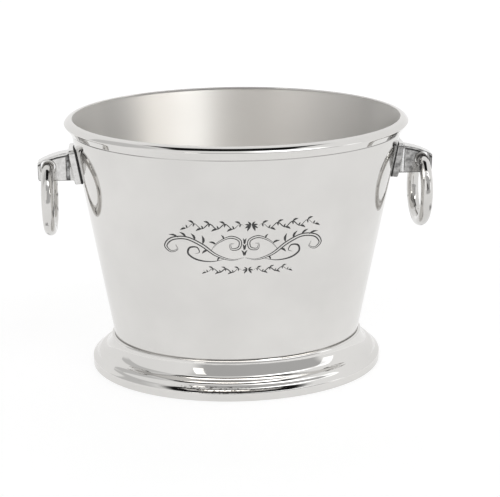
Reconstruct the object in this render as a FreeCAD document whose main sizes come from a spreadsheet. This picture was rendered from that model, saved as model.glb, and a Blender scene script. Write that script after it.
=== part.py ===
import FreeCAD, Part
import Sketcher
import os

# Oval champagne bucket: a tapered oval shell with a capped rim, standing on a moulded foot,
# with a cast bracket and a free ring handle at each end.
#
# Frame: +Z up, millimetres. The origin is on the surface that the foot stands on, under the
# middle of the oval. The long axis of the oval and both brackets lie along X.
#
# Every oval is an ellipse. The "waist" is the line where the shell meets the foot, and an
# offset is a distance outwards from the shell's outer face at the same height.

DRIVING_SIZES = [
    # shell
    ("waist_height", 32.6),
    ("waist_half_length", 124.7),
    ("waist_half_width", 79.2),
    ("wall_flare", 0.1626),
    ("wall_slope_angle", 9.235),
    ("wall_thickness", 3.5),
    ("floor_thickness", 7.0),
    ("floor_corner_radius", 6.0),
    ("base_height", 30.0),
    ("shell_top_height", 254.0),
    ("solder_gap", 0.15),
    # rim
    ("rim_height", 256.3),
    ("rim_skirt_height", 244.0),
    ("rim_skirt_thickness", 0.9),
    ("rim_edge_radius", 0.8),
    ("rim_crest_out", -0.75),
    # foot
    ("deck_thickness", 4.0),
    ("deck_width", 16.0),
    ("foot_hollow_out", 18.3),
    ("foot_ground_out", 22.3),
    ("foot_ground_radius", 0.6),
    ("foot_top_out", 0.9),
    ("ground_trim", 1.0),
    # bracket
    ("gasket_thickness", 1.0),
    ("plate_offset", 6.0),
    ("plate_width", 32.0),
    ("plate_low", 192.8),
    ("plate_high", 228.4),
    ("plate_corner_radius", 4.0),
    ("plate_edge_radius", 1.2),
    ("arm_width", 13.0),
    ("arm_low", 195.0),
    ("arm_root_high", 223.4),
    ("arm_tip_high", 213.6),
    ("arm_tip_reach", 192.2),
    ("arm_top_radius", 72.0),
    ("neck_radius", 2.2),
    ("arm_tip_low_radius", 2.4),
    ("arm_tip_high_radius", 1.5),
    ("arm_edge_radius", 0.9),
    ("slot_edge_radius", 0.5),
    ("ring_slot_radius", 7.3),
    ("ring_slot_low", 208.4),
    ("ring_slot_high", 208.8),
    # ring
    ("pivot_reach", 182.5),
    ("pivot_height", 208.2),
    ("ring_radius", 31.4),
    ("ring_tube_radius", 6.0),
    # fasteners
    ("screw_radius", 2.0),
    ("thread_clearance", 0.05),
    ("wall_hole_radius", 2.25),
    ("head_radius", 3.7),
    ("head_height", 2.4),
    ("socket_radius", 1.3),
    ("socket_depth", 1.4),
    ("washer_radius", 5.2),
    ("washer_thickness", 1.0),
    ("washer_stand_off", 0.25),
    ("handle_screw_length", 14.0),
    ("handle_screw_upper", 217.5),
    ("handle_screw_lower", 204.0),
    ("handle_screw_depth", 15.0),
    ("foot_screw_length", 9.0),
    ("foot_screw_depth", 5.0),
    ("foot_screw_long", 82.0),
    ("foot_screw_wide", 49.5),
]

# Corners of a moulded profile: name, distance out from the wall where the piece is joined to it,
# height, and radius of the arc up to the next corner (negative for a hollow one, None for a line).
RIM_OUTSIDE = [
    ("hem", 1.45, 244.5, None),
    ("flare", 6.3, 251.1, 1.12),
    ("roll", 6.25, 252.35, 13.6),
    ("bevel", 5.03, 253.8, 7.6),
    ("crown", 3.25, 255.2, 8.9),
]
FOOT_HOLLOW = [
    ("deck_root", -2.0, 26.0, None),
    ("neck_inside", -1.6, 20.0, -9.0),
    ("slope_inside", 3.2, 14.9, None),
    ("shoulder_inside", 10.0, 10.4, None),
    ("skirt_inside", 17.0, 6.6, None),
]
FOOT_OUTSIDE = [
    ("skirt_low", 22.8, 0.6, 100.0),
    ("skirt_high", 22.6, 7.6, 1.45),
    ("shoulder", 22.0, 8.75, 25.0),
    ("cove", 19.28, 10.48, -5.5),
    ("swell", 17.26, 12.65, 8.4),
    ("tread", 12.0, 16.6, -9.7),
    ("neck", 7.6, 19.6, -26.3),
    ("collar", 3.0, 30.5, 2.6),
]
for piece, corners in (("rim", RIM_OUTSIDE), ("foot", FOOT_HOLLOW), ("foot", FOOT_OUTSIDE)):
    for name, out, height, radius in corners:
        DRIVING_SIZES.append((f"{piece}_{name}_out", out))
        DRIVING_SIZES.append((f"{piece}_{name}_height", height))
        if radius is not None:
            DRIVING_SIZES.append((f"{piece}_{name}_arc", abs(radius)))

doc = FreeCAD.newDocument("champagne_bucket")
sheet = doc.addObject("Spreadsheet::Sheet", "Sizes")
sheet.Label = "Sizes"
for row, (alias, value) in enumerate(DRIVING_SIZES, start=1):
    sheet.set(f"A{row}", alias)
    sheet.set(f"B{row}", str(value))
    sheet.setAlias(f"B{row}", alias)
doc.recompute()

NODES = []


def size(alias):
    """The value of one driving size, for starting positions of sketch geometry."""
    return float(sheet.get(alias))


def formula_value(formula):
    """Evaluates a formula of sheet cells, for starting positions of sketch geometry."""
    return float(sheet.evalExpression(formula))


def linked(formula):
    """Writes a formula of bare cell names as an expression that any object can hold."""
    words = formula
    for alias in sorted((name for name, _ in DRIVING_SIZES), key=len, reverse=True):
        words = words.replace(f"[{alias}]", f"<<Sizes>>.{alias}")
    return words


def wall_half_length(height):
    """Half length of the shell's outer oval at a height."""
    return f"([waist_half_length] + [wall_flare] * ({height} - [waist_height]))"


def wall_half_width(height):
    """Half width of the shell's outer oval at a height."""
    return f"([waist_half_width] + [wall_flare] * ({height} - [waist_height]))"


def new_body(name):
    body = doc.addObject("PartDesign::Body", name)
    body.Label = name
    return body


def origin_plane(body, role):
    for feature in body.Origin.OriginFeatures:
        if feature.Role == role:
            return feature
    raise ValueError(role)


def new_sketch(body, name, role, height=None):
    """A sketch on one of the body's origin planes, raised to a height if one is given."""
    sketch = body.newObject("Sketcher::SketchObject", name)
    sketch.AttachmentSupport = [(origin_plane(body, role), "")]
    sketch.MapMode = "FlatFace"
    if height is not None:
        sketch.setExpression("AttachmentOffset.Base.z", linked(height))
    return sketch


def bind(sketch, constraint, label, formula):
    """Adds a sketch constraint and drives it from the sheet."""
    index = sketch.addConstraint(constraint)
    sketch.renameConstraint(index, label)
    sketch.setExpression(f"Constraints.{label}", linked(formula))


def draw_oval(sketch, half_length, half_width):
    """An ellipse centred on the sketch origin with its long axis along X."""
    along = formula_value(linked(half_length))
    across = formula_value(linked(half_width))
    ellipse = Part.Ellipse(
        FreeCAD.Vector(along, 0, 0), FreeCAD.Vector(0, across, 0), FreeCAD.Vector(0, 0, 0)
    )
    oval = sketch.addGeometry(ellipse, False)
    sketch.exposeInternalGeometry(oval)
    long_axis = oval + 1
    short_axis = oval + 2
    sketch.addConstraint(Sketcher.Constraint("Coincident", oval, 3, -1, 1))
    sketch.addConstraint(Sketcher.Constraint("Horizontal", long_axis))
    bind(sketch, Sketcher.Constraint("Distance", long_axis, 2 * along), "length", f"2 * {half_length}")
    bind(sketch, Sketcher.Constraint("Distance", short_axis, 2 * across), "width", f"2 * {half_width}")


def draw_circle(sketch, label, radius, along="0", across="0"):
    centre = FreeCAD.Vector(formula_value(linked(along)), formula_value(linked(across)), 0)
    start = formula_value(linked(radius))
    circle = sketch.addGeometry(Part.Circle(centre, FreeCAD.Vector(0, 0, 1), start), False)
    bind(sketch, Sketcher.Constraint("Radius", circle, start), f"{label}_radius", radius)
    place_point(sketch, label, circle, 3, along, across)


def place_point(sketch, label, geometry, vertex, along, across):
    """Fixes a point at a distance from the sketch origin along both axes."""
    for axis, formula in (("X", along), ("Y", across)):
        value = formula_value(linked(formula))
        if formula == "0":
            kind = "PointOnObject"
            sketch.addConstraint(Sketcher.Constraint(kind, geometry, vertex, -2 if axis == "X" else -1))
            continue
        constraint = Sketcher.Constraint(f"Distance{axis}", -1, 1, geometry, vertex, value)
        bind(sketch, constraint, f"{label}_{axis.lower()}", formula)


def draw_outline(sketch, steps):
    """A closed outline. Each step is (x, z, bulge): a corner and the radius of the arc that
    leads on to the next corner. A radius of None is a straight line, a positive one bulges to
    the right of the way round and a negative one to the left. A half circle is fixed by its
    two ends."""
    corners = []
    for x, z, _ in steps:
        corners.append(FreeCAD.Vector(formula_value(linked(x)), formula_value(linked(z)), 0))
    edges = []
    for index, (_, _, bulge) in enumerate(steps):
        start = corners[index]
        end = corners[(index + 1) % len(corners)]
        if bulge is None:
            edges.append((sketch.addGeometry(Part.LineSegment(start, end), False), 1, 2))
            continue
        radius = formula_value(linked(bulge.lstrip("-")))
        side = -1 if bulge.startswith("-") else 1
        chord = end - start
        sagitta = radius - max(radius ** 2 - chord.Length ** 2 / 4, 0) ** 0.5
        right = FreeCAD.Vector(chord.y, -chord.x, 0).normalize()
        middle = (start + end) * 0.5 + right * (side * sagitta)
        arc = Part.Arc(start, middle, end)
        edge = sketch.addGeometry(arc, False)
        first = sketch.getPoint(edge, 1)
        forward = (first - start).Length < (first - end).Length
        edges.append((edge, 1, 2) if forward else (edge, 2, 1))
        if abs(chord.Length - 2 * radius) < 1e-6:
            sketch.addConstraint(Sketcher.Constraint("Symmetric", edge, 1, edge, 2, edge, 3))
            continue
        bind(sketch, Sketcher.Constraint("Radius", edge, radius), f"arc_{index}", bulge.lstrip("-"))
    for index, (edge, _, tail) in enumerate(edges):
        following, head, _ = edges[(index + 1) % len(edges)]
        sketch.addConstraint(Sketcher.Constraint("Coincident", edge, tail, following, head))
    for index, (x, z, _) in enumerate(steps):
        edge, head, _ = edges[index]
        place_point(sketch, f"corner_{index}", edge, head, x, z)


def profile_steps(piece, corners, wall):
    """The outline steps of a moulded profile that is measured out from a wall."""
    steps = []
    for name, _, _, radius in corners:
        bulge = None
        if radius is not None:
            bulge = f"{'-' if radius < 0 else ''}[{piece}_{name}_arc]"
        steps.append((f"({wall} + [{piece}_{name}_out])", f"[{piece}_{name}_height]", bulge))
    return steps


def oval_loft(body, kind, name, low, high, offset):
    """A ruled loft between two ovals of the shell's outer face, both moved out by an offset."""
    sections = []
    for end, height in (("low", low), ("high", high)):
        sketch = new_sketch(body, f"{name}_{end}", "XY_Plane", height)
        draw_oval(
            sketch,
            f"({wall_half_length(height)} + {offset})",
            f"({wall_half_width(height)} + {offset})",
        )
        sections.append(sketch)
    loft = body.newObject(kind, name)
    loft.Profile = (sections[0], [""])
    loft.Sections = [(sections[1], [""])]
    loft.Ruled = True
    return loft


def oval_sweep(body, name, path_height, steps):
    """Sweeps an outline in the XZ plane once round the shell's outer oval at a height."""
    path = new_sketch(body, f"{name}_path", "XY_Plane", path_height)
    draw_oval(path, wall_half_length(path_height), wall_half_width(path_height))
    profile = new_sketch(body, f"{name}_profile", "XZ_Plane")
    draw_outline(profile, steps)
    doc.recompute()
    sweep = body.newObject("PartDesign::AdditivePipe", name)
    sweep.Profile = (profile, [""])
    sweep.Spine = (path, ["Edge1"])
    sweep.Mode = "Frenet"
    doc.recompute()
    return sweep


def cylinder(name, radius, height, place, turn):
    """A cylinder whose axis is +Z turned about Y by an angle, starting at a place."""
    tool = doc.addObject("Part::Cylinder", name)
    tool.Label = name
    tool.setExpression("Radius", linked(radius))
    tool.setExpression("Height", linked(height))
    bind_placement(tool, place, turn)
    return tool


def bind_placement(target, place, turn="0"):
    """Places an object: a turn about Y, then a position, both driven by the sheet."""
    target.Placement = FreeCAD.Placement(
        FreeCAD.Vector(0, 0, 0), FreeCAD.Rotation(FreeCAD.Vector(0, 1, 0), formula_value(linked(turn)))
    )
    for axis, formula in zip("xyz", place):
        target.setExpression(f"Placement.Base.{axis}", linked(formula))
    if turn != "0":
        target.setExpression("Placement.Rotation.Angle", linked(turn))


def cut(name, base, tools):
    """Takes the tools out of a solid and gives the result its own node."""
    joined = tools[0]
    if len(tools) > 1:
        joined = doc.addObject("Part::MultiFuse", f"{name}_tools")
        joined.Shapes = tools
    result = doc.addObject("Part::Cut", name)
    result.Base = base
    result.Tool = joined
    return result


def keep(name, target):
    """Marks an object as one of the finished pieces."""
    target.Label = name
    NODES.append((name, target))


def side_sign(side):
    return 1 if side == "right" else -1


# ---------------------------------------------------------------- places that pieces share

HANDLE_SCREWS = [("upper", "[handle_screw_upper]"), ("lower", "[handle_screw_lower]")]
FOOT_SCREWS = [("front_left", -1, -1), ("front_right", 1, -1), ("rear_left", -1, 1), ("rear_right", 1, 1)]


def outward_turn(side):
    """Turn about Y that points a cylinder's axis out through the end wall, square to it."""
    return f"{side_sign(side)} * (90 + [wall_slope_angle])"


def end_wall_point(side, height, offset):
    """A point on the line square to the end wall that leaves its outer face at a height.
    The offset is measured along that line, outwards."""
    reach = f"({wall_half_length(height)} + ({offset}) * cos([wall_slope_angle] * 1deg))"
    drop = f"({height} - ({offset}) * sin([wall_slope_angle] * 1deg))"
    return (f"{side_sign(side)} * {reach}", "0", drop)


# ---------------------------------------------------------------- shell

def make_shell():
    body = new_body("shell_body")
    oval_loft(body, "PartDesign::AdditiveLoft", "shell_outside", "[base_height]", "[shell_top_height]", "0")
    oval_loft(
        body, "PartDesign::SubtractiveLoft", "shell_inside",
        "([base_height] + [floor_thickness])", "[shell_top_height]", "(0 - [wall_thickness])",
    )
    doc.recompute()
    inside_corner = body.newObject("PartDesign::Fillet", "floor_corner")
    inside_corner.Base = (body.getObject("shell_inside"), [floor_edge(body.getObject("shell_inside"))])
    inside_corner.setExpression("Radius", linked("[floor_corner_radius]"))
    doc.recompute()
    tools = []
    for side in ("left", "right"):
        for level, height in HANDLE_SCREWS:
            start = end_wall_point(side, height, "0 - 3 * [wall_thickness]")
            tools.append(cylinder(
                f"wall_hole_{side}_{level}", "[wall_hole_radius]", "5 * [wall_thickness]", start,
                outward_turn(side),
            ))
    for corner, along, across in FOOT_SCREWS:
        place = (f"{along} * [foot_screw_long]", f"{across} * [foot_screw_wide]", "([base_height] - 1)")
        tools.append(cylinder(
            f"floor_hole_{corner}", "([screw_radius] + [thread_clearance])",
            "([foot_screw_depth] + 1)", place, "0",
        ))
    keep("bucket_shell", cut("bucket_shell", body, tools))


def floor_edge(feature):
    """The edge where the inside of the wall meets the floor."""
    floor = formula_value(linked("[base_height] + [floor_thickness]"))
    for index, edge in enumerate(feature.Shape.Edges, start=1):
        box = edge.BoundBox
        flat = box.ZLength < 0.01 and abs(box.ZMin - floor) < 0.01
        if flat and box.XLength > size("waist_half_length"):
            return f"Edge{index}"
    raise ValueError("no floor edge")


# ---------------------------------------------------------------- rim

def make_rim():
    """A cap over the shell's top edge: a flared skirt outside, a tight roll, a bevel and a
    crowned top that ends flush with the inside of the wall."""
    body = new_body("rim_band")

    def at(height, offset):
        return f"({wall_half_length(height)} + {offset})"

    hem = "[rim_skirt_height]"
    inside = "(0 - [wall_thickness])"
    steps = [
        (at(hem, "[solder_gap]"), hem, None),
        (at(hem, "[rim_skirt_thickness]"), hem, "0.5"),
        *profile_steps("rim", RIM_OUTSIDE, wall_half_length(hem)),
        (at(hem, "[rim_crest_out]"), "[rim_height]", "[rim_edge_radius]"),
        (at("([rim_height] - [rim_edge_radius])", inside), "([rim_height] - [rim_edge_radius])", None),
        (at("[shell_top_height]", inside), "[shell_top_height]", None),
        (at("[shell_top_height]", "[solder_gap]"), "[shell_top_height]", None),
    ]
    oval_sweep(body, "rim_cap", hem, steps)
    keep("rim_band", body)


# ---------------------------------------------------------------- foot

def make_foot():
    """A hollow moulded foot: a collar round the shell, a concave neck, a broad swell, a cove and
    an upright skirt, with a deck inside that carries the shell and takes the screws."""
    body = new_body("foot_body")

    def out(offset):
        return f"([waist_half_length] + {offset})"

    deck_underside = "([base_height] - [deck_thickness])"
    trim = "(0 - [ground_trim])"
    steps = [
        (out("[solder_gap]"), "[waist_height]", None),
        (out("[solder_gap] - [wall_flare] * ([waist_height] - [base_height])"), "[base_height]", None),
        (out("0 - [deck_width]"), "[base_height]", None),
        (out("0 - [deck_width]"), deck_underside, None),
        *profile_steps("foot", FOOT_HOLLOW, "[waist_half_length]"),
        (out("[foot_hollow_out]"), "0", None),
        (out("[foot_hollow_out]"), trim, None),
        (out("[foot_ground_out]"), trim, None),
        (out("[foot_ground_out]"), "0", "[foot_ground_radius]"),
        *profile_steps("foot", FOOT_OUTSIDE, "[waist_half_length]"),
        (out("[foot_top_out]"), "[waist_height]", None),
    ]
    oval_sweep(body, "foot_ring", "[waist_height]", steps)
    tools = [ground_block()]
    for corner, along, across in FOOT_SCREWS:
        place = (f"{along} * [foot_screw_long]", f"{across} * [foot_screw_wide]", "20")
        tools.append(cylinder(f"deck_hole_{corner}", "[wall_hole_radius]", "15", place, "0"))
    keep("pedestal_foot", cut("pedestal_foot", body, tools))


def ground_block():
    """The space under the foot. It trims the foot to one flat face that it stands on."""
    block = doc.addObject("Part::Box", "ground_block")
    half_length = "([waist_half_length] + 2 * [foot_ground_out])"
    half_width = "([waist_half_width] + 2 * [foot_ground_out])"
    block.setExpression("Length", linked(f"2 * {half_length}"))
    block.setExpression("Width", linked(f"2 * {half_width}"))
    block.setExpression("Height", linked("2 * [ground_trim]"))
    bind_placement(block, (f"(0 - {half_length})", f"(0 - {half_width})", "(0 - 2 * [ground_trim])"))
    return block


# ---------------------------------------------------------------- brackets and gaskets

def wall_solid(name, offset):
    """The space inside the shell's outer face moved out by an offset, over a bracket's height.
    It is turned half round so that its seam is away from the right end."""
    body = new_body(name)
    oval_loft(
        body, "PartDesign::AdditiveLoft", f"{name}_loft",
        "([plate_low] - 12)", "([plate_high] + 12)", offset,
    )
    body.Placement = FreeCAD.Placement(
        FreeCAD.Vector(0, 0, 0), FreeCAD.Rotation(FreeCAD.Vector(0, 0, 1), 180)
    )
    return body


def face_reach(height, offset):
    """X of a face parallel to the right end wall at a height."""
    return f"({wall_half_length(height)} + {offset})"


def plate_steps():
    """Side view of the plate: square to the wall at both ends, sunk into it at the back."""
    low = "[plate_low]"
    high = "[plate_high]"
    return [
        (face_reach(low, "(0 - 6)"), f"({low} + 1)", None),
        (face_reach(low, "[plate_offset]"), low, None),
        (face_reach(high, "[plate_offset]"), f"({high} - 1)", None),
        (face_reach(high, "(0 - 6)"), high, None),
    ]


def screw_bores(name, radius):
    """Tools for the handle screws' holes, at the right end."""
    bores = []
    for level, height in HANDLE_SCREWS:
        start = end_wall_point("right", height, "0 - 2")
        bores.append(
            cylinder(f"{name}_{level}", radius, "[handle_screw_depth]", start, outward_turn("right"))
        )
    return bores


def make_brackets():
    """A curved mounting plate with an arm, and a slot through the arm for the ring. It is made
    at the right end and mirrored to the left."""
    body = new_body("bracket_body")
    plate_sketch = new_sketch(body, "plate_side", "XZ_Plane")
    draw_outline(plate_sketch, plate_steps())
    plate = pad_both_ways(body, "plate", plate_sketch, "[plate_width]")
    corners = rounded(body, "plate_corners", plate, is_plate_corner, "[plate_corner_radius]")
    rounded(body, "plate_face_edge", corners, is_plate_face_edge, "[plate_edge_radius]")

    arm_sketch = new_sketch(body, "arm_side", "XZ_Plane")
    draw_outline(arm_sketch, arm_steps())
    arm = pad_both_ways(body, "arm", arm_sketch, "[arm_width]")
    tip_low = rounded(body, "tip_low", arm, is_low_tip, "[arm_tip_low_radius]")
    tip_high = rounded(body, "tip_high", tip_low, is_high_tip, "[arm_tip_high_radius]")
    arm_edges = rounded(body, "arm_edges", tip_high, is_arm_edge, "[arm_edge_radius]")
    neck = rounded(body, "neck", arm_edges, is_neck, "[neck_radius]")

    slot_sketch = new_sketch(body, "ring_slot_side", "XZ_Plane")
    draw_outline(slot_sketch, slot_steps())
    slot = body.newObject("PartDesign::Pocket", "ring_slot")
    slot.Profile = slot_sketch
    slot.Type = "Length"
    slot.Midplane = True
    slot.setExpression("Length", linked("2 * [arm_width]"))
    doc.recompute()
    if slot.Shape.Volume > neck.Shape.Volume - 1000:
        raise ValueError("the ring slot cuts nothing")
    rounded(body, "slot_edges", slot, is_slot_edge, "[slot_edge_radius]")

    wall_space = wall_solid("bracket_wall_space", "([solder_gap] + [gasket_thickness] + 0.05)")
    bores = screw_bores("tapped_hole", "([screw_radius] + [thread_clearance])")
    keep_pair("bracket", cut("bracket_right", body, [wall_space] + bores))


def keep_pair(name, right):
    """Keeps a piece of the right end and its mirror image at the left end."""
    left = doc.addObject("Part::Mirroring", f"{name}_left")
    left.Source = right
    left.Normal = FreeCAD.Vector(1, 0, 0)
    keep(f"{name}_right", right)
    keep(f"{name}_left", left)


def arm_steps():
    """Side view of the arm: flat below, with a long gentle crown on top."""
    root = "([waist_half_length] + [wall_flare] * 175)"
    top = "([arm_root_high] + 0.3)"
    return [
        (root, "[arm_low]", None),
        ("[arm_tip_reach]", "[arm_low]", None),
        ("[arm_tip_reach]", "[arm_tip_high]", "[arm_top_radius]"),
        (f"({root} + 4)", top, None),
        (root, top, None),
    ]


def slot_steps():
    """Side view of the ring slot: round at both ends. Its lower end sits so high that the ring
    all but rests in it."""
    inner = "([pivot_reach] - [ring_slot_radius])"
    outer = "([pivot_reach] + [ring_slot_radius])"
    return [
        (outer, "[ring_slot_low]", None),
        (outer, "[ring_slot_high]", "[ring_slot_radius]"),
        (inner, "[ring_slot_high]", None),
        (inner, "[ring_slot_low]", "[ring_slot_radius]"),
    ]


def pad_both_ways(body, name, sketch, length):
    """Pads a sketch by half the length on each side of its plane."""
    pad = body.newObject("PartDesign::Pad", name)
    pad.Profile = sketch
    pad.Midplane = True
    pad.setExpression("Length", linked(length))
    doc.recompute()
    return pad


def rounded(body, name, base, wanted, radius):
    """Rounds the edges of the last feature that a test picks out."""
    names = []
    for index, edge in enumerate(base.Shape.Edges, start=1):
        if wanted(edge.BoundBox):
            names.append(f"Edge{index}")
    fillet = body.newObject("PartDesign::Fillet", name)
    fillet.Base = (base, names)
    fillet.setExpression("Radius", linked(radius))
    doc.recompute()
    if "Invalid" in fillet.State or not names:
        raise ValueError(f"{body.Name}: {name} failed on {names}")
    return fillet


def farthest(box):
    return max(abs(box.XMin), abs(box.XMax))


def nearest(box):
    return min(abs(box.XMin), abs(box.XMax))


def is_plate_corner(box):
    """The edges through the plate's thickness at its four corners."""
    return box.YLength < 0.01 and box.ZLength < 2


def is_plate_face_edge(box):
    """The edges round the plate's front face."""
    behind = formula_value(linked(wall_half_length("[plate_low]"))) + size("plate_offset") - 0.5
    return nearest(box) > behind and (box.ZLength < 26 or box.YLength < 0.01)


def is_neck(box):
    """The edges where the arm's sides and top grow out of the plate."""
    behind = formula_value(linked(wall_half_length("[arm_low]"))) + size("plate_offset") - 0.5
    beside = max(abs(box.YMin), abs(box.YMax)) < size("arm_width") / 2 + 0.01
    raised = box.ZMax > size("arm_low") + 1
    return beside and raised and nearest(box) > behind and farthest(box) < 163


def is_low_tip(box):
    return nearest(box) > size("arm_tip_reach") - 0.01 and box.ZMax < size("arm_low") + 0.01


def is_high_tip(box):
    level = box.ZLength < 0.01 and box.ZMin > size("arm_tip_high") - 0.01
    return nearest(box) > size("arm_tip_reach") - 0.01 and level


def is_beside_arm(box):
    """Edges that lie in one of the arm's two side faces."""
    return abs(abs(box.YMin) - size("arm_width") / 2) < 0.01 and box.YLength < 0.01


def is_slot_edge(box):
    """The edges where the ring slot breaks through the arm's sides."""
    low = size("pivot_reach") - size("ring_slot_radius") - 0.01
    high = size("pivot_reach") + size("ring_slot_radius") + 0.01
    inside = nearest(box) > low and farthest(box) < high
    return is_beside_arm(box) and inside and box.ZMin > size("arm_low") + 1


def is_arm_edge(box):
    """The arm's outer edges, from the plate round the tip."""
    return is_beside_arm(box) and farthest(box) > 170


def make_gaskets():
    """A thin pad between each plate and the wall, a little smaller than the plate."""
    block = new_body("gasket_block_body")
    sketch = new_sketch(block, "gasket_side", "XZ_Plane")
    draw_outline(sketch, plate_steps())
    pad = pad_both_ways(block, "gasket_block", sketch, "[plate_width] - 0.6")
    rounded(block, "gasket_corners", pad, is_plate_corner, "[plate_corner_radius]")
    band = doc.addObject("Part::Common", "gasket_band")
    band.Base = block
    band.Tool = wall_solid("gasket_outer_space", "([solder_gap] + [gasket_thickness])")
    wall_space = wall_solid("gasket_inner_space", "[solder_gap]")
    bores = screw_bores("gasket_hole", "[wall_hole_radius]")
    keep_pair("bracket_gasket", cut("bracket_gasket_right", band, [wall_space] + bores))


# ---------------------------------------------------------------- ring handles

def make_ring(side):
    """A plain round ring that hangs through the arm's slot."""
    ring = doc.addObject("Part::Torus", f"ring_handle_{side}")
    ring.setExpression("Radius1", linked("[ring_radius]"))
    ring.setExpression("Radius2", linked("[ring_tube_radius]"))
    place = (f"{side_sign(side)} * [pivot_reach]", "0", "[pivot_height] - [ring_radius]")
    bind_placement(ring, place, "90")
    keep(f"ring_handle_{side}", ring)


# ---------------------------------------------------------------- fasteners

def make_screw(name, length, place, turn):
    """A domed socket screw. Its head's seat is at the place and its shank points along the
    turned axis."""
    body = new_body(name)
    sketch = new_sketch(body, "screw_side", "XZ_Plane")
    steps = [
        ("0", "(0 - [head_height])", None),
        ("(0.45 * [head_radius])", "(0 - [head_height])", "[head_radius]"),
        ("[head_radius]", "(0 - 0.25 * [head_height])", None),
        ("[head_radius]", "0", None),
        ("[screw_radius]", "0", None),
        ("[screw_radius]", f"({length} - 0.5)", None),
        ("([screw_radius] - 0.5)", length, None),
        ("0", length, None),
    ]
    draw_outline(sketch, steps)
    turned = body.newObject("PartDesign::Revolution", "screw")
    turned.Profile = sketch
    turned.ReferenceAxis = (sketch, ["V_Axis"])
    turned.Angle = 360
    doc.recompute()
    socket = new_sketch(body, "socket_outline", "XY_Plane", "(0 - [head_height])")
    draw_hexagon(socket, "[socket_radius]")
    before = turned.Shape.Volume
    pocket = body.newObject("PartDesign::Pocket", "socket")
    pocket.Profile = socket
    pocket.Type = "Length"
    pocket.Reversed = True
    pocket.setExpression("Length", linked("[socket_depth]"))
    doc.recompute()
    if pocket.Shape.Volume > before - 1:
        raise ValueError(f"{name}: the socket cuts nothing")
    bind_placement(body, place, turn)
    keep(name, body)


def draw_hexagon(sketch, radius):
    """A regular hexagon about the sketch origin, sized across its corners."""
    steps = []
    for corner in range(6):
        turn = 60 * corner + 30
        along = f"({radius} * cos({turn} * 1deg))"
        across = f"({radius} * sin({turn} * 1deg))"
        steps.append((straight(along), straight(across), None))
    draw_outline(sketch, steps)


def straight(formula):
    """Writes a formula that comes to nothing as a plain zero, which pins the point to an axis."""
    return "0" if abs(formula_value(linked(formula))) < 1e-9 else formula


def make_washer(name, place, turn):
    body = new_body(name)
    sketch = new_sketch(body, "washer_outline", "XY_Plane")
    draw_circle(sketch, "rim", "[washer_radius]")
    draw_circle(sketch, "hole", "[wall_hole_radius]")
    pad = body.newObject("PartDesign::Pad", "washer")
    pad.Profile = sketch
    pad.setExpression("Length", linked("[washer_thickness]"))
    doc.recompute()
    bind_placement(body, place, turn)
    keep(name, body)


def make_handle_fasteners(side):
    """Screws from inside the bucket, each with a sealing washer under its head."""
    washer_seat = "(0 - [wall_thickness] - [washer_stand_off] - [washer_thickness])"
    for level, height in HANDLE_SCREWS:
        place = end_wall_point(side, height, washer_seat)
        make_washer(f"sealing_washer_{side}_{level}", place, outward_turn(side))
        make_screw(f"handle_screw_{side}_{level}", "[handle_screw_length]", place, outward_turn(side))


def make_foot_fasteners():
    """Screws from under the deck up into the shell's floor."""
    seat = "([base_height] - [deck_thickness] - [washer_thickness])"
    for corner, along, across in FOOT_SCREWS:
        place = (f"{along} * [foot_screw_long]", f"{across} * [foot_screw_wide]", seat)
        make_washer(f"foot_washer_{corner}", place, "0")
        make_screw(f"foot_screw_{corner}", "[foot_screw_length]", place, "0")


# ---------------------------------------------------------------- the whole bucket

def check(name, target):
    if "Invalid" in target.State or "Error" in target.State:
        raise ValueError(f"{name} failed to compute: {target.State}")
    shape = target.Shape
    if shape.isNull() or not shape.isValid():
        raise ValueError(f"{name} has no valid shape")
    if len(shape.Solids) != 1:
        raise ValueError(f"{name} has {len(shape.Solids)} solids")
    box = shape.BoundBox
    print(
        f"{name:28s} {shape.Volume / 1000:9.2f} cm3  "
        f"x {box.XMin:7.1f} {box.XMax:7.1f}  y {box.YMin:7.1f} {box.YMax:7.1f}  "
        f"z {box.ZMin:6.1f} {box.ZMax:6.1f}"
    )


def main():
    make_shell()
    make_rim()
    make_foot()
    make_brackets()
    make_gaskets()
    for side in ("left", "right"):
        make_ring(side)
        make_handle_fasteners(side)
    make_foot_fasteners()
    doc.recompute()
    for feature in doc.Objects:
        if "Invalid" in feature.State or "Error" in feature.State:
            raise ValueError(f"{feature.Name} failed to compute: {feature.State}")
    for name, target in NODES:
        check(name, target)
    os.makedirs("parts", exist_ok=True)
    for name, target in NODES:
        target.Shape.exportStep(f"parts/{name}.step")


main()
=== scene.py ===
import math

import bpy
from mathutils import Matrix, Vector, noise


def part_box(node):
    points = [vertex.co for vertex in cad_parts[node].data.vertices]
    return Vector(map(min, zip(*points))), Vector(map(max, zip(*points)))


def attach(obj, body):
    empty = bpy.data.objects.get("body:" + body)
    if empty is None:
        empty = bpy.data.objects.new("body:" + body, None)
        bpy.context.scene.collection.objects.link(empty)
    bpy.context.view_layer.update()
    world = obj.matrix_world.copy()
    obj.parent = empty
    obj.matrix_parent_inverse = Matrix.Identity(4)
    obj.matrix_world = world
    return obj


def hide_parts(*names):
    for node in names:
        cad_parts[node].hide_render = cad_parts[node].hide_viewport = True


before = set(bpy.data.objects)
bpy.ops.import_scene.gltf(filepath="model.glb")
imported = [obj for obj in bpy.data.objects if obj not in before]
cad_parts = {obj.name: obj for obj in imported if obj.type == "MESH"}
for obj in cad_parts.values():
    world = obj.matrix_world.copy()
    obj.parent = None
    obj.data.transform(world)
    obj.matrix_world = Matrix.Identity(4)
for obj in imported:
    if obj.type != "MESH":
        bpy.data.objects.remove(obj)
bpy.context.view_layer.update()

# Oval champagne bucket. Metres; +Z up, the long axis of the oval along X, the front towards -Y.
MM = 0.001

# ------------------------------------------------------------------ sizes, from the CAD frame

SHELL_LOW, SHELL_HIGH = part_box("bucket_shell")
RIM_LOW, RIM_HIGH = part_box("rim_band")
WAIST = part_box("pedestal_foot")[1].z    # where the foot's collar meets the shell

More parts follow.
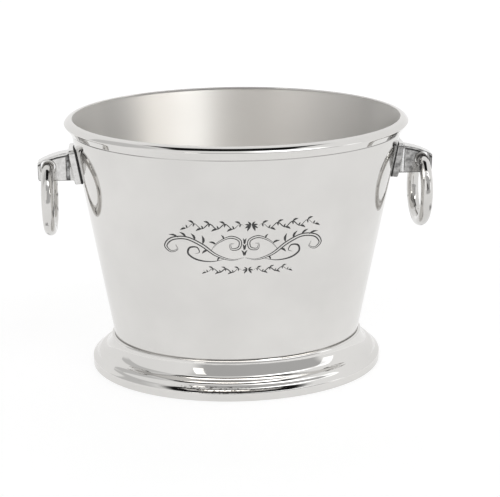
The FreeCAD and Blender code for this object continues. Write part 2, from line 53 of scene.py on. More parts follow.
FLARE = 0.1626                  # how far the wall leans out for each metre it rises
WALL = 3.5 * MM
FLOOR = 7.0 * MM
FLOOR_CORNER = 6.0 * MM
SOLDER_GAP = 0.15 * MM
AROUND = 512                    # points round an oval


def wall_half_sizes(height, offset=0.0):
    """Half length and half width of the oval at a height, moved out from the shell's face."""
    drop = FLARE * (SHELL_HIGH.z - height)
    return SHELL_HIGH.x - drop + offset, SHELL_HIGH.y - drop + offset


# ------------------------------------------------------------------ mesh helpers

def new_object(name, points, faces, materials, material_of=None, crease=35):
    mesh = bpy.data.meshes.new(name)
    mesh.from_pydata(points, [], faces)
    mesh.validate()
    for material in materials:
        mesh.materials.append(material)
    for face in mesh.polygons:
        face.use_smooth = True
        if material_of:
            face.material_index = material_of(face)
    mesh.set_sharp_from_angle(angle=math.radians(crease))
    thing = bpy.data.objects.new(name, mesh)
    bpy.context.scene.collection.objects.link(thing)
    return thing


def rings_object(name, rings, materials, material_of=None, caps=True, crease=35):
    """A closed surface through rings of points that all have the same count. Without caps the
    last ring joins the first."""
    count = len(rings[0])
    points = [point for ring in rings for point in ring]
    faces = []
    last = len(rings) - 1 if caps else len(rings)
    for row in range(last):
        here = row * count
        there = ((row + 1) % len(rings)) * count
        for column in range(count):
            beside = (column + 1) % count
            faces.append((here + column, here + beside, there + beside, there + column))
    if caps:
        for row, forward in ((0, False), (len(rings) - 1, True)):
            ring = rings[row]
            centre = len(points)
            points.append(tuple(sum(axis) / count for axis in zip(*ring)))
            for column in range(count):
                beside = (column + 1) % count
                pair = (row * count + column, row * count + beside)
                faces.append((*(pair if forward else pair[::-1]), centre))
    return new_object(name, points, faces, materials, material_of, crease)


def oval_ring(half_length, half_width, height):
    ring = []
    for step in range(AROUND):
        turn = math.tau * step / AROUND
        ring.append((half_length * math.cos(turn), half_width * math.sin(turn), height))
    return ring


def parallel_ring(half_length, half_width, offset, height):
    """A curve at an equal distance outside an oval."""
    ring = []
    for step in range(AROUND):
        turn = math.tau * step / AROUND
        across = Vector((half_width * math.cos(turn), half_length * math.sin(turn))).normalized()
        x = half_length * math.cos(turn) + offset * across.x
        y = half_width * math.sin(turn) + offset * across.y
        ring.append((x, y, height))
    return ring


def arc_points(start, end, bulge, step_angle=7.0):
    """Points from start up to but not including end. A positive bulge is the radius of an arc
    that swells to the right of the way, a negative one to the left, and None is a line."""
    start, end = Vector(start), Vector(end)
    chord = end - start
    if bulge is None:
        pieces = max(1, round(chord.length / 1.5))
        return [tuple(start.lerp(end, piece / pieces)) for piece in range(pieces)]
    radius = max(abs(bulge), chord.length / 2)
    side = 1 if bulge > 0 else -1
    right = Vector((chord.y, -chord.x)).normalized() * side
    depth = math.sqrt(max(radius ** 2 - (chord.length / 2) ** 2, 0))
    centre = (start + end) / 2 - right * depth
    first = math.atan2(start.y - centre.y, start.x - centre.x)
    sweep = 2 * math.asin(min(1, chord.length / 2 / radius)) * side
    pieces = max(2, math.ceil(abs(math.degrees(sweep)) / step_angle))
    found = []
    for piece in range(pieces):
        angle = first + sweep * piece / pieces
        found.append((centre.x + radius * math.cos(angle), centre.y + radius * math.sin(angle)))
    return found


def outline(steps, step_angle=7.0):
    """A closed outline in millimetres from corners (out, up, bulge)."""
    points = []
    for (out, up, bulge), (next_out, next_up, _) in zip(steps, steps[1:] + steps[:1]):
        points += arc_points((out, up), (next_out, next_up), bulge, step_angle)
    return points


def wobble(thing, depth, spacing, seed=0.0, keep=None):
    """Sinks points along their normals by smooth noise, as casting and hand polishing leave it.
    It only ever goes inwards, so a piece stays inside its CAD size."""
    mesh = thing.data
    shift = Vector((seed, 2 * seed, 3 * seed))
    moved = []
    for vertex in mesh.vertices:
        place = vertex.co / spacing
        swell = noise.noise(place + shift) + 0.5 * noise.noise(2.3 * place - shift)
        share = 0.5 + 0.33 * swell
        if keep is None or keep(vertex.co):
            moved.append(vertex.co - vertex.normal * (depth * share))
        else:
            moved.append(vertex.co.copy())
    for vertex, place in zip(mesh.vertices, moved):
        vertex.co = place
    mesh.update()


# ------------------------------------------------------------------ materials

class Nodes:
    """Short way to write a node tree."""

    def __init__(self, tree):
        self.tree = tree
        tree.nodes.clear()

    def add(self, kind, inputs=None, **settings):
        node = self.tree.nodes.new(kind)
        for name, value in settings.items():
            setattr(node, name, value)
        for key, value in (inputs or {}).items():
            socket = node.inputs[key]
            if isinstance(value, bpy.types.NodeSocket):
                self.tree.links.new(value, socket)
            else:
                socket.default_value = value
        return node

    def math(self, operation, *values):
        return self.add("ShaderNodeMath", dict(enumerate(values)), operation=operation).outputs[0]

    def product(self, first, *others):
        for other in others:
            first = self.math("MULTIPLY", first, other)
        return first

    def apart(self, value, middle):
        """How far a value is from a middle one."""
        return self.math("ABSOLUTE", self.math("SUBTRACT", value, middle))

    def axes(self, vector):
        return self.add("ShaderNodeSeparateXYZ", {0: vector}).outputs

    def attribute(self, name):
        return self.add("ShaderNodeAttribute", attribute_name=name).outputs["Fac"]

    def noise(self, place, scale, detail=3.0, roughness=0.5):
        inputs = {"Vector": place, "Scale": scale, "Detail": detail, "Roughness": roughness}
        return self.add("ShaderNodeTexNoise", inputs).outputs["Fac"]

    def cells(self, place, scale):
        """Distance from the nearest of many scattered spots."""
        return self.add("ShaderNodeTexVoronoi", {"Vector": place, "Scale": scale}).outputs["Distance"]

    def spread(self, value, low, high, new_low=0.0, new_high=1.0, smooth=False):
        """Stretches one range of a value to another, and holds it at the two ends."""
        inputs = {"Value": value, "From Min": low, "From Max": high, "To Min": new_low, "To Max": new_high}
        kind = "SMOOTHSTEP" if smooth else "LINEAR"
        return self.add("ShaderNodeMapRange", inputs, interpolation_type=kind).outputs[0]

    def rise(self, value, low, high, top=1.0):
        """A smooth step, up where high is above low and down where it is below."""
        return self.spread(value, low, high, 0.0, top, smooth=True)

    def mix(self, share, first, second):
        node = self.add("ShaderNodeMix", data_type="RGBA")
        for key, value in ((0, share), (6, first), (7, second)):
            if isinstance(value, bpy.types.NodeSocket):
                self.tree.links.new(value, node.inputs[key])
            else:
                node.inputs[key].default_value = value
        return node.outputs[2]

    def stretched(self, place, scale):
        return self.add("ShaderNodeMapping", {"Vector": place, "Scale": scale}).outputs[0]

    def bump(self, height, distance, normal=None):
        inputs = {"Height": height, "Distance": distance, "Strength": 1.0}
        if normal is not None:
            inputs["Normal"] = normal
        return self.add("ShaderNodeBump", inputs).outputs[0]


def grey(value, warmth=0.0):
    return (value * (1 + warmth), value, value * (1 - 1.6 * warmth), 1.0)


def start_material(name):
    material = bpy.data.materials.new(name)
    material.use_nodes = True
    nodes = Nodes(material.node_tree)
    place = nodes.add("ShaderNodeTexCoord").outputs["Object"]
    return material, nodes, place


def finish_material(nodes, **inputs):
    named = {key.replace("_", " "): value for key, value in inputs.items()}
    shader = nodes.add("ShaderNodeBsdfPrincipled", named)
    nodes.add("ShaderNodeOutputMaterial", {"Surface": shader.outputs[0]})


def polished_nickel(name, tones, gloss, waves, pits=0.0, seams=(), dark_reflection_streaks=0.0, dark_reflection_flecks=()):
    """Buffed nickel plate: near mirror, with faint cloudy tone, buffing lines and a slow swell
    of the metal under it. Waves and pits are depths in millimetres. Seams are (low, high)
    heights where painted shade and dark reflection darken the metal against the next piece,
    most of all at the two ends. The next argument is how dark the streaky patches of painted
    dark reflection are. The last is (x, half width, low, high): a place at the front where
    flecks of painted dark reflection lie in the hollows."""
    material, nodes, place = start_material(name)
    x, y, z = nodes.axes(place)
    cloud = nodes.noise(place, 14.0)
    dark, light = (grey(tone, 0.016) for tone in tones)
    color = nodes.mix(nodes.spread(cloud, 0.3, 0.7), dark, light)
    # Painted shade and dark reflection along the joints with the next piece, darker towards the two ends
    # of the oval.
    end = nodes.spread(nodes.apart(x, 0.0), 80 * MM, 135 * MM)
    joint_shade = nodes.mix(end, grey(0.36, 0.02), grey(0.05, 0.02))
    joint_shade_share = nodes.math("MAXIMUM", end, nodes.spread(cloud, 0.2, 0.6))
    for low, high in seams:
        level = nodes.apart(z, (low + high) / 2)
        joint_band = nodes.rise(level, (high - low) / 2, (high - low) / 5)
        color = nodes.mix(nodes.product(joint_band, joint_shade_share), color, joint_shade)
    if dark_reflection_streaks:
        # Painted dark reflection: streaky dark patches stand in for dark things mirrored in the polished
        # ring.
        dark_reflection_patches = nodes.noise(nodes.stretched(place, (190.0, 110.0, 75.0)), 1.0)
        color = nodes.mix(nodes.rise(dark_reflection_patches, 0.60, 0.69, dark_reflection_streaks), color, grey(0.10, 0.03))
    if dark_reflection_flecks:
        # Painted dark reflection: dark flecks on the front of the foot's tread stand in for mirrored dark
        # things.
        middle, half_width, low, high = dark_reflection_flecks
        beside = nodes.spread(nodes.apart(x, middle), half_width, half_width / 2)
        level = nodes.spread(nodes.apart(z, (low + high) / 2), (high - low) / 2, (high - low) / 3)
        front = nodes.math("LESS_THAN", y, 0.0)
        flecks = nodes.noise(nodes.stretched(place, (420.0, 420.0, 900.0)), 1.0, 3.0, 0.6)
        share = nodes.product(beside, level, front, nodes.rise(flecks, 0.52, 0.58, 0.8))
        color = nodes.mix(share, color, grey(0.13, 0.06))
    lines = nodes.noise(nodes.stretched(place, (60.0, 60.0, 2600.0)), 1.0, 2.0)
    smear = nodes.noise(place, 55.0, 4.0)
    roughness = nodes.spread(nodes.product(smear, lines), 0.1, 0.45, *gloss)
    swell = nodes.bump(nodes.noise(place, 26.0, 1.0), waves * MM)
    normal = nodes.bump(lines, 0.0006 * MM, swell)
    if pits:
        dots = nodes.rise(nodes.cells(place, 420.0), 0.0, 0.22)
        normal = nodes.bump(dots, pits * MM, normal)
    finish_material(nodes, Base_Color=color, Metallic=1.0, Roughness=roughness, Normal=normal)
    return material


def satin_nickel():
    """The brushed inside of the shell: fine lines that run round the wall, so lights smear
    up and down."""
    material, nodes, place = start_material("satin_nickel_inside")
    cloud = nodes.noise(nodes.stretched(place, (9.0, 9.0, 5.0)), 1.0, 3.0)
    color = nodes.mix(nodes.spread(cloud, 0.3, 0.7), grey(0.68, 0.02), grey(0.74, 0.02))
    lines = nodes.noise(nodes.stretched(place, (12.0, 12.0, 2400.0)), 1.0, 2.0)
    smear = nodes.noise(place, 9.0, 2.0)
    roughness = nodes.spread(smear, 0.3, 0.7, 0.50, 0.56)
    fine = nodes.bump(lines, 0.004 * MM)
    around = nodes.add("ShaderNodeTangent", direction_type="RADIAL", axis="Z").outputs[0]
    finish_material(
        nodes, Base_Color=color, Metallic=1.0, Roughness=roughness, Normal=fine,
        Anisotropic=0.95, Anisotropic_Rotation=0.25, Tangent=around,
    )
    return material


def cast_nickel(name, tones, gloss, relief, neck):
    """Nickel plate over a sand casting: soft lumps, pits and darker low spots, the lumps buffed
    bright on top. Faces that turn upwards are painted lighter as top light. The crevice under
    the arm's ledge is painted black as shade, and the groove beside the plate is painted in
    the two tones that neck gives, as the light and shade that fall in it."""
    material, nodes, place = start_material(name)
    lumps = nodes.noise(place, 190.0, 4.0, 0.6)
    grains = nodes.noise(place, 900.0, 3.0, 0.6)
    pits = nodes.rise(nodes.cells(place, 520.0), 0.04, 0.26)
    buffed = nodes.product(nodes.spread(lumps, 0.34, 0.62), pits)
    color = nodes.mix(buffed, grey(tones[0], 0.01), grey(tones[1], 0.008))
    # Painted top light: faces that turn upwards are mixed towards a lighter grey.
    upwards = nodes.axes(nodes.add("ShaderNodeNewGeometry").outputs["Normal"])[2]
    color = nodes.mix(nodes.spread(upwards, 0.45, 0.85, 0.0, 0.9), color, grey(0.74, 0.008))
    # Painted light and shade in the groove beside the plate: dark on the left bracket, light on the right.
    neck_light_and_shade = nodes.mix(nodes.spread(lumps, 0.4, 0.6), grey(neck[0]), grey(neck[1]))
    color = nodes.mix(nodes.attribute("groove"), color, neck_light_and_shade)
    # Painted shade: near black under the arm's ledge.
    color = nodes.mix(nodes.attribute("crevice"), color, grey(0.02))
    roughness = nodes.spread(grains, 0.3, 0.7, *gloss)
    soft = nodes.bump(lumps, relief * MM)
    sharp = nodes.bump(pits, 0.3 * relief * MM, soft)
    finish_material(nodes, Base_Color=color, Metallic=1.0, Roughness=roughness, Normal=sharp)
    return material


def turned_steel():
    material, nodes, place = start_material("turned_steel")
    marks = nodes.noise(place, 1500.0, 2.0)
    color = nodes.mix(marks, grey(0.46), grey(0.60))
    roughness = nodes.spread(nodes.noise(place, 700.0, 2.0), 0.3, 0.7, 0.24, 0.38)
    normal = nodes.bump(marks, 0.01 * MM)
    finish_material(nodes, Base_Color=color, Metallic=1.0, Roughness=roughness, Normal=normal)
    return material


def seal_rubber():
    material, nodes, place = start_material("seal_rubber")
    grain = nodes.noise(place, 1200.0, 4.0)
    color = nodes.mix(grain, grey(0.012), grey(0.028))
    roughness = nodes.spread(grain, 0.3, 0.7, 0.55, 0.75)
    normal = nodes.bump(grain, 0.03 * MM)
    finish_material(nodes, Base_Color=color, Roughness=roughness, Normal=normal)
    return material


def engraving_enamel():
    """The dark fill of the engraved ornament, a little worn."""
    material, nodes, place = start_material("engraving_enamel")
    wear = nodes.noise(place, 260.0, 4.0, 0.6)
    color = nodes.mix(nodes.spread(wear, 0.35, 0.7), grey(0.012), grey(0.055))
    roughness = nodes.spread(wear, 0.3, 0.7, 0.30, 0.5)
    normal = nodes.bump(nodes.noise(place, 900.0, 3.0), 0.02 * MM)
    finish_material(nodes, Base_Color=color, Roughness=roughness, Normal=normal)
    return material


# Heights of the painted shade and dark reflection where the rim and the foot meet the shell.
SHELL_SEAMS = ((RIM_LOW.z - 1.5 * MM, RIM_LOW.z), (WAIST, WAIST + 1.4 * MM))
# Where painted dark reflections fleck the front of the foot's tread.
FOOT_DARK_REFLECTIONS = (-30 * MM, 42 * MM, 7.5 * MM, 13.5 * MM)
SHELL_OUTSIDE = polished_nickel(
    "polished_nickel_shell", (0.645, 0.70), (0.05, 0.085), 0.05, seams=SHELL_SEAMS,
)
SHELL_INSIDE = satin_nickel()
RIM_METAL = polished_nickel("polished_nickel_rim", (0.66, 0.70), (0.02, 0.05), 0.04)
FOOT_METAL = polished_nickel(
    "polished_nickel_foot", (0.65, 0.70), (0.02, 0.05), 0.05, 0.006, dark_reflection_flecks=FOOT_DARK_REFLECTIONS,
)
RING_METAL = polished_nickel(
    "polished_nickel_ring", (0.58, 0.70), (0.06, 0.14), 0.16, 0.006, dark_reflection_streaks=0.85,
)
# Two copies of one cast nickel with painted light and shade: the right bracket is painted darker all over,
# its groove lighter, the left groove darker.
BRACKET_LIT_AND_SHADED_METAL = {
    "left": cast_nickel("cast_nickel_left_painted_shade", (0.55, 0.70), (0.10, 0.18), 0.06, (0.05, 0.40)),
    "right": cast_nickel("cast_nickel_right_painted_light_and_shade", (0.16, 0.46), (0.12, 0.26), 0.16, (0.70, 0.90)),
}
STEEL = turned_steel()
RUBBER = seal_rubber()
ENAMEL = engraving_enamel()


# ------------------------------------------------------------------ shell

def make_shell():
    """The tapered oval shell: outside, top edge, inside, rounded floor corner and floor."""
    low, high = SHELL_LOW.z, SHELL_HIGH.z
    floor_top = low + FLOOR
    corner_top = floor_top + 1.15 * FLOOR_CORNER
    corner_reach = 0.85 * FLOOR_CORNER
    rings = []

    def add_disc(half_sizes, height, shares):
        for share in shares:
            rings.append(oval_ring(share * half_sizes[0], share * half_sizes[1], height))

    def add_wall(start, end, count, offset):
        for row in range(count):
            height = start + (end - start) * row / (count - 1)
            rings.append(oval_ring(*wall_half_sizes(height, offset), height))

    add_disc(wall_half_sizes(low), low, (0.2, 0.5, 0.8, 0.995))
    add_wall(low, high, 25, 0.0)
    outside_rings = len(rings)
    add_wall(high, corner_top, 24, -WALL)
    lean = math.atan(FLARE)
    corner_rows = 8
    for row in range(1, corner_rows + 1):
        turn = (math.pi / 2 - lean) * row / corner_rows
        drop = (1 - math.sin(turn + lean)) / (1 - math.sin(lean))
        height = floor_top + drop * (corner_top - floor_top)
        inwards = corner_reach * (1 - math.cos(turn))
        rings.append(oval_ring(*wall_half_sizes(corner_top, -WALL - inwards), height))
    floor_half_sizes = wall_half_sizes(corner_top, -WALL - corner_reach)
    add_disc(floor_half_sizes, floor_top, (0.93, 0.8, 0.6, 0.4, 0.2))

    def side(face):
        """0 outside and 1 inside. The fans that close the two ends are the last faces."""
        row = face.index // AROUND
        under_fan = row == len(rings) - 1
        return 1 if row >= outside_rings and not under_fan else 0

    shell = rings_object("shell_body", rings, [SHELL_OUTSIDE, SHELL_INSIDE], side)
    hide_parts("bucket_shell")
    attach(shell, "root")
    return shell


# ------------------------------------------------------------------ engraved ornament

PROUD = 0.05 * MM                 # the enamel stands this far out of the wall


def front_point(across, height, offset):
    """A point on the front of the wall, from millimetres to the right and up."""
    length, width = wall_half_sizes(height * MM)
    x = across * MM
    y = -width * math.sqrt(1 - (x / length) ** 2)
    outwards = Vector((x / length ** 2, y / width ** 2, 0)).normalized()
    return Vector((x, y, height * MM)) + outwards * offset


def smooth_path(corners, steps=9):
    """A smooth line through a few corners."""
    places = [Vector(corner) for corner in corners]
    places = [2 * places[0] - places[1], *places, 2 * places[-1] - places[-2]]
    path = []
    for before, start, end, after in zip(places, places[1:], places[2:], places[3:]):
        for step in range(steps):
            t = step / steps
            path.append(0.5 * (
                2 * start + (end - before) * t + (2 * before - 5 * start + 4 * end - after) * t ** 2
                + (3 * start - before - 3 * end + after) * t ** 3
            ))
    path.append(places[-2])
    return path


class Ornament:
    """Strokes laid on the front wall, each a low ridge that narrows towards its ends."""

    def __init__(self, middle, level):
        self.middle = middle
        self.level = level
        self.points = []
        self.faces = []

    def stroke(self, path, widest, beside=0.0):
        """One stroke, and its mirror image. Beside moves it to the left of its path."""
        for side in (1, -1):
            first = len(self.points)
            last = len(path) - 1
            for index, place in enumerate(path):
                way = (path[min(index + 1, last)] - path[max(index - 1, 0)]).normalized()
                left = Vector((-way.y, way.x))
                share = index / last
                taper = min(1.0, 0.12 + 3.0 * share, 0.12 + 2.2 * (1 - share))
                centre = place + left * beside * taper
                half = left * (widest * taper / 2)
                section = ((centre - half, -0.4), (centre, 1.0), (centre + half, -0.4), (centre, -1.2))
                for spot, lift in section:
                    across = self.middle + side * spot.x
                    self.points.append(tuple(front_point(across, self.level + spot.y, lift * PROUD)))
            for row in range(last):
                for corner in range(4):
                    here, beyond = first + 4 * row, first + 4 * row + 4
                    following = (corner + 1) % 4
                    quad = (here + corner, here + following, beyond + following, beyond + corner)
                    self.faces.append(quad if side > 0 else quad[::-1])
            start_cap = tuple(range(first, first + 4))
            end_cap = tuple(range(first + 4 * last + 3, first + 4 * last - 1, -1))
            for cap in (start_cap, end_cap):
                self.faces.append(cap[::-1] if side > 0 else cap)

    def leaf(self, x, y, turn, long, wide):
        """A curved leaf that starts at a place and points along a turn in degrees."""
        angle = math.radians(turn)
        way = Vector((math.cos(angle), math.sin(angle)))
        left = Vector((-way.y, way.x))
        start = Vector((x, y))
        belly = start + way * long / 2 + left * long * 0.12
        self.stroke(smooth_path([start, belly, start + way * long], 6), wide)

    def vine(self, start, end, swing, wave, leaf):
        """A running wavy stem with a pair of leaves at every bend."""
        count = round(12 * (end - start) / wave)
        stem = []
        for step in range(count + 1):
            along = (end - start) * step / count
            stem.append(Vector((start + along, swing * math.sin(math.tau * along / wave))))
        self.stroke(stem, 1.45)
        for bend in range(round(2 * (end - start) / wave)):
            x = start + wave * (0.25 + 0.5 * bend)
            up = (-1) ** bend
            self.leaf(x, swing * up, 25 * up, leaf, 0.46 * leaf)
            self.leaf(x - wave * 0.05, swing * up, -70 * up, 0.62 * leaf, 0.34 * leaf)

    def finish(self, name):
        thing = new_object(name, self.points, self.faces, [ENAMEL], crease=20)
        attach(thing, "root")


def make_ornament():
    """Scrolls and leaves in three rows across the front, mirrored about each row's middle."""
    top = Ornament(5.0, 178.3)
    top.vine(6.5, 62.5, 2.6, 14.0, 5.8)
    for turn in (20, 60, -20, -60):
        top.leaf(0.6, 0.0, turn, 5.8, 2.6)
    top.finish("ornament_top_row")

    middle = Ornament(-1.0, 156.0)
    stem = smooth_path([
        (0.5, -10), (12, -12), (26, -7), (39, 3), (53, 9.5),
        (66, 7.5), (71.5, 0), (67, -5.5), (61, -3), (62.5, 2),
    ])
    low_scroll = smooth_path([
        (17, -11), (30, -14), (43, -12.5), (51, -7), (50, -0.5), (43.5, 0.5), (41, -4.5), (45, -6.5),
    ])
    high_scroll = smooth_path([
        (31, -3), (24, 6), (13, 11.5), (4.5, 8), (5, 0.5), (11.5, -1), (13, 4), (9.5, 5),
    ])
    for beside in (1.25, -1.25):
        middle.stroke(stem, 1.65, beside)
    middle.stroke(low_scroll, 2.4)
    for beside in (1.05, -1.05):
        middle.stroke(high_scroll, 1.3, beside)
    for x, y, turn, long, wide in (
        (38, 4, 85, 9, 3.2), (45, 7.5, 62, 8, 3.0), (53, 10, 40, 8, 2.8), (60, 9.5, 15, 9, 2.6),
        (22, -9, -58, 5, 2.2), (33, -2, -35, 7, 2.8), (26, 4, 20, 7, 2.7), (19, 9.5, 60, 5, 2.2),
    ):
        middle.leaf(x, y, turn, long, wide)
    for y, turn in ((-8, 70), (-2, 78), (4, 80)):
        middle.leaf(0.5, y, turn, 6.5, 2.4)
    middle.finish("ornament_middle_row")

    low = Ornament(2.5, 132.6)
    low.vine(5.5, 41.0, 2.0, 11.8, 4.6)
    for turn in (0, 50, -50):
        low.leaf(0.5, 0.0, turn, 4.6, 2.1)
    low.finish("ornament_low_row")


# ------------------------------------------------------------------ rim

def make_rim():
    """A flared band capped over the shell's top edge: skirt, tight roll, bevel and crowned top."""
    low = RIM_LOW.z / MM
    top = RIM_HIGH.z / MM
    shell_top = SHELL_HIGH.z / MM
    wall, gap = WALL / MM, SOLDER_GAP / MM

    def lean(height):
        return FLARE * (height - low)

    inside = (lean(top - 0.8) - wall, top - 0.8)
    steps = [
        (gap, low, None),
        (0.9, low, 0.5),
        (1.45, low + 0.5, None),                        # hem
        (6.3, top - 5.2, 1.12),                         # end of the flare
        (6.25, top - 3.95, 13.6),                       # end of the tight roll
        (5.03, top - 2.5, 7.6),                         # end of the bevel
        (3.25, top - 1.1, 8.9),                         # crown
        (-0.75, top, 0.8),                              # crest
        (*inside, None),
        (lean(shell_top) - wall, shell_top, None),
        (lean(shell_top) + gap, shell_top, None),
    ]
    points = outline(steps)
    flush_row = points.index(min(points, key=lambda point: math.dist(point, inside)))
    length, width = wall_half_sizes(RIM_LOW.z)
    rings = [parallel_ring(length, width, out * MM, up * MM) for out, up in points]

    def side(face):
        return 1 if face.index // AROUND == flush_row else 0

    rim = rings_object("rim_cap", rings, [RIM_METAL, SHELL_INSIDE], side, caps=False, crease=30)
    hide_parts("rim_band")
    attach(rim, "root")


# ------------------------------------------------------------------ foot

def make_foot():
    """The hollow moulded foot: collar, concave neck, broad swell, cove and upright skirt."""
    waist = WAIST / MM
    base = SHELL_LOW.z / MM
    deck = base - 4.0
    steps = [
        (SOLDER_GAP / MM, waist, None),
        (-0.27, base, None),
        (-16.0, base, None),                            # deck
        (-16.0, deck, None),
        (-2.0, deck, None),
        (-1.6, 20.0, -9.0),                             # hollow, down to the ground
        (3.2, 14.9, None),
        (10.0, 10.4, None),
        (17.0, 6.6, None),
        (18.3, 0.0, None),
        (22.3, 0.0, 0.6),                               # skirt
        (22.8, 0.6, 100.0),
        (22.6, 7.6, 1.45),
        (22.0, 8.75, 25.0),                             # shoulder
        (19.28, 10.48, -5.5),                           # cove
        (17.26, 12.65, 8.4),                            # swell
        (12.0, 16.6, -9.7),                             # tread
        (7.6, 19.6, -26.3),                             # neck
        (3.0, 30.5, 2.6),                               # collar
        (0.9, waist, None),
    ]
    length, width = wall_half_sizes(WAIST)
    rings = [parallel_ring(length, width, out * MM, up * MM) for out, up in outline(steps, 5.0)]
    foot = rings_object("foot_moulding", rings, [FOOT_METAL], caps=False, crease=40)

    def is_moulding(place):
        return 1.2 * MM < place.z < WAIST - 0.3 * MM

    wobble(foot, 0.05 * MM, 9 * MM, 4.0, is_moulding)
    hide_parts("pedestal_foot")
    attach(foot, "root")


# ------------------------------------------------------------------ ring handles

def make_ring(side):
    """A round ring, cast and polished by hand, so its section isn't quite even."""
    low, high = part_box(f"ring_handle_{side}")
    tube = (high.x - low.x) / 2
    reach = (high.z - low.z) / 2 - tube
    centre = (low + high) / 2
    along, around = 160, 48
    rings = []
    for step in range(along):
        turn = math.tau * step / along
        ring = []
        for point in range(around):
            angle = math.tau * point / around
            out = reach + tube * math.cos(angle)
            ring.append((
                centre.x + tube * math.sin(angle),
                centre.y + out * math.sin(turn),
                centre.z + out * math.cos(turn),
            ))
        rings.append(ring)
    ring = rings_object(f"ring_{side}", rings, [RING_METAL], caps=False, crease=60)
    wobble(ring, 0.22 * MM, 16 * MM, 1.0 if side == "left" else 7.0)
    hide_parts(f"ring_handle_{side}")
    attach(ring, f"ring_{side}")


# ------------------------------------------------------------------ brackets

ARM = 6.5 * MM                    # half the arm's thickness
PLATE = 9.0 * MM                  # from the wall to the front of the plate
LEDGE = 2.6 * MM
LEDGE_DEPTH = 1.3 * MM
CREVICE = 2.4 * MM                # how far down from the ledge its painted shade line fades out
GROOVE_WIDTH = 5.0 * MM
GROOVE_DEPTH = 2.2 * MM
EDGE = 0.5 * MM                   # how softly the ledge turns


def shape_arm(mesh):
    """Cuts the arm's two side faces back under a ledge along its top, and a groove round the
    sides where the arm meets the plate. By their attributes the material paints shade under
    the ledge, and light and shade in the groove."""
    tops = {}
    for vertex in mesh.vertices:
        x, y, z = vertex.co
        if abs(y) < ARM:
            column = round(abs(x) / MM)
            tops[column] = max(tops.get(column, 0.0), z)
    root = min(tops) * MM + PLATE
    grooves = [0.0] * len(mesh.vertices)
    crevice_shades = [0.0] * len(mesh.vertices)
    for vertex in mesh.vertices:
        x, y, z = vertex.co
        beyond = abs(x) - root
        below = tops.get(round(abs(x) / MM), z) - LEDGE - z
        if beyond < 0 or abs(y) < ARM - 1.0 * MM or below < 0:
            continue
        turned = min(1.0, below / EDGE)
        hollow = max(0.0, 1 - abs(2 * beyond / GROOVE_WIDTH - 1))
        groove = min(1.0, 1.8 * hollow) * turned
        fading = min(1.0, max(0.0, 2 * (1 - below / CREVICE)))
        grooves[vertex.index] = groove
        # Painted shade under the ledge, fading out downwards.
        crevice_shades[vertex.index] = turned * fading * (1 - 0.6 * groove)
        sunk = max(LEDGE_DEPTH * turned, GROOVE_DEPTH * groove)
        vertex.co.y = y - math.copysign(sunk, y)
    for name, values in (("groove", grooves), ("crevice", crevice_shades)):
        mesh.attributes.new(name, "FLOAT", "POINT").data.foreach_set("value", values)


def make_bracket(side):
    """The cast bracket: the CAD shape with its edges softened as a casting's are."""
    name = f"bracket_casting_{side}"
    casting = bpy.data.objects.new(name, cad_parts[f"bracket_{side}"].data.copy())
    bpy.context.scene.collection.objects.link(casting)
    voxels = casting.modifiers.new("even_mesh", "REMESH")
    voxels.mode = "VOXEL"
    voxels.voxel_size = 0.45 * MM
    softer = casting.modifiers.new("soft_edges", "SMOOTH")
    softer.factor = 0.5
    softer.iterations = 4
    graph = bpy.context.evaluated_depsgraph_get()
    mesh = bpy.data.meshes.new_from_object(casting.evaluated_get(graph))
    mesh.name = name
    casting.modifiers.clear()
    casting.data = mesh
    mesh.materials.clear()
    mesh.materials.append(BRACKET_LIT_AND_SHADED_METAL[side])
    for face in mesh.polygons:
        face.use_smooth = True
    shape_arm(mesh)
    wobble(casting, 0.25 * MM, 7 * MM, 2.0 if side == "left" else 5.0)
    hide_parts(f"bracket_{side}")
    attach(casting, "root")


# ------------------------------------------------------------------ CAD pieces that stay

def dress(kinds, material):
    for name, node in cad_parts.items():
        if name.startswith(kinds):
            node.data.materials.clear()
            node.data.materials.append(material)


# ------------------------------------------------------------------ studio

FRONT_TURN = 0.080                # the camera stands a little to the left of the front
CAMERA_RISE = 0.359
CAMERA_DISTANCE = 1.2
TARGET = Vector((0, 0, 0.125))


def make_camera():
    data = bpy.data.cameras.new("camera")
    camera = bpy.data.objects.new("camera", data)
    bpy.context.scene.collection.objects.link(camera)
    back = Vector((
        -math.sin(FRONT_TURN) * math.cos(CAMERA_RISE),
        -math.cos(FRONT_TURN) * math.cos(CAMERA_RISE),
        math.sin(CAMERA_RISE),
    ))
    camera.location = TARGET + CAMERA_DISTANCE * back
    camera.rotation_euler = (-back).to_track_quat("-Z", "Y").to_euler()
    data.lens = 86.4
    data.sensor_width = 36.0
    data.shift_x = 0.0262
    data.shift_y = -0.0132
    data.clip_start = 0.05
    data.clip_end = 50.0
    bpy.context.scene.camera = camera


# Cards hung round the object: degrees to the right of the camera, half the width and its fade;
# degrees up and over from the camera's side, from and to, and their fade; tone.
CARDS = (
    (20, 38, 5, 0, 55, 1.5, grey(0.53)),                # dim patch behind the camera
    (-48, 24, 6, 71, 110, 2, grey(0.68)),               # dimmer ceiling at the left
    (1, 21, 3, 71, 110, 1, grey(0.01)),                 # dark gap overhead
    (24, 12, 9, 57, 71, 1, grey(3.0, -0.01)),           # bright strip in front of the gap
)


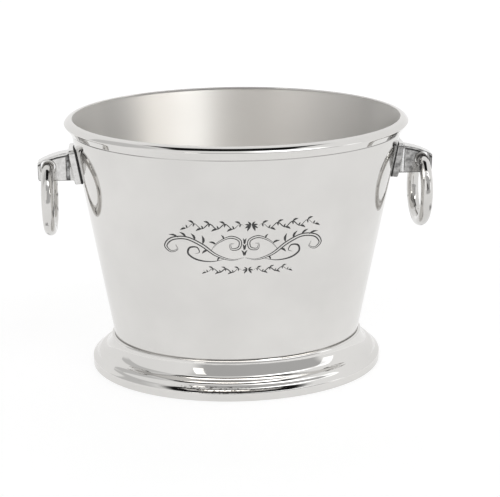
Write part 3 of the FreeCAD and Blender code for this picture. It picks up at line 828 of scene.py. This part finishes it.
def make_world():
    """White all round but for the cards. The camera itself sees plain white."""
    world = bpy.data.worlds.new("studio")
    world.use_nodes = True
    bpy.context.scene.world = world
    nodes = Nodes(world.node_tree)
    direction = nodes.add("ShaderNodeTexCoord").outputs["Generated"]
    x, y, z = nodes.axes(direction)
    sine, cosine = math.sin(FRONT_TURN), math.cos(FRONT_TURN)
    forward = nodes.math("ADD", nodes.product(x, -sine), nodes.product(y, -cosine))
    sideways = nodes.math("ADD", nodes.product(x, cosine), nodes.product(y, -sine))
    across = nodes.math("ARCSINE", sideways)
    over = nodes.math("ARCTAN2", z, forward)

    def step_at(value, edge, soft):
        """A soft step up at an edge in degrees, or down where soft is negative."""
        return nodes.rise(value, math.radians(edge - soft), math.radians(edge + soft))

    shade = grey(1.0)
    for middle, half_width, fade, low, high, soft, tone in CARDS:
        wide = step_at(nodes.apart(across, math.radians(middle)), half_width, -fade)
        mask = nodes.product(wide, step_at(over, low, soft), step_at(over, high, -soft))
        shade = nodes.mix(mask, shade, tone)
    seen = nodes.add("ShaderNodeLightPath").outputs["Is Camera Ray"]
    shade = nodes.mix(seen, shade, grey(1.0))
    background = nodes.add("ShaderNodeBackground", {"Color": shade, "Strength": 1.0})
    nodes.add("ShaderNodeOutputWorld", {"Surface": background.outputs[0]})


def make_floor():
    """A plain white paper floor."""
    half = 6.0
    corners = [(-half, -half, 0), (half, -half, 0), (half, half, 0), (-half, half, 0)]
    material, nodes, place = start_material("paper_floor")
    grain = nodes.noise(place, 300.0, 2.0)
    color = nodes.mix(grain, grey(0.36), grey(0.38))
    shader = nodes.add("ShaderNodeBsdfPrincipled", {
        "Base Color": color, "Roughness": 0.9, "Emission Color": grey(1.0), "Emission Strength": 0.70,
    })
    nodes.add("ShaderNodeOutputMaterial", {"Surface": shader.outputs[0]})
    floor = new_object("paper_floor", corners, [(0, 1, 2, 3)], [material])


# Soft boxes: name, place, width and height, watts, tint. The bowl's own light only the shell.
STUDIO_BOXES = (
    ("left_box", (-0.75, -1.75, 1.0), (0.24, 1.0), 0.8, (1.0, 0.98, 0.94)),
    ("right_box", (1.75, -0.85, 0.9), (0.4, 1.2), 0.9, (0.96, 0.98, 1.0)),
)
BOWL_BOXES = (
    ("bowl_box", (0.72, -1.70, 1.1), (0.40, 1.0), 9.5, (0.98, 1.0, 1.0)),
    ("bowl_side_box", (1.30, -1.35, 1.1), (0.90, 1.0), 11.0, (1.0, 0.97, 0.92)),
    ("bowl_top_box", (0.0, -0.2, 1.9), (1.4, 1.4), 19.0, (1.0, 0.97, 0.94)),
)


def soft_box(name, place, size, power, tint):
    data = bpy.data.lights.new(name, "AREA")
    data.color = tint
    data.shape = "RECTANGLE"
    data.size, data.size_y = size
    data.energy = power
    light = bpy.data.objects.new(name, data)
    light.location = place
    light.rotation_euler = (TARGET - Vector(place)).to_track_quat("-Z", "Y").to_euler()
    bpy.context.scene.collection.objects.link(light)
    return light


def aim_at(lights, piece):
    """Lets lights reach only one piece, as flags on stands would."""
    lit = bpy.data.collections.new("lit_bowl")
    lit.objects.link(piece)
    for light in lights:
        light.light_linking.receiver_collection = lit


def main():
    make_camera()
    make_world()
    make_floor()
    for box in STUDIO_BOXES:
        soft_box(*box)
    bowl_lights = [soft_box(*box) for box in BOWL_BOXES]
    bpy.context.scene.view_settings.view_transform = "Standard"
    shell = make_shell()
    aim_at(bowl_lights, shell)
    make_ornament()
    make_rim()
    make_foot()
    for side in ("left", "right"):
        make_ring(side)
        make_bracket(side)
    dress(("handle_screw", "foot_screw", "foot_washer"), STEEL)
    dress(("bracket_gasket", "sealing_washer"), RUBBER)


main()
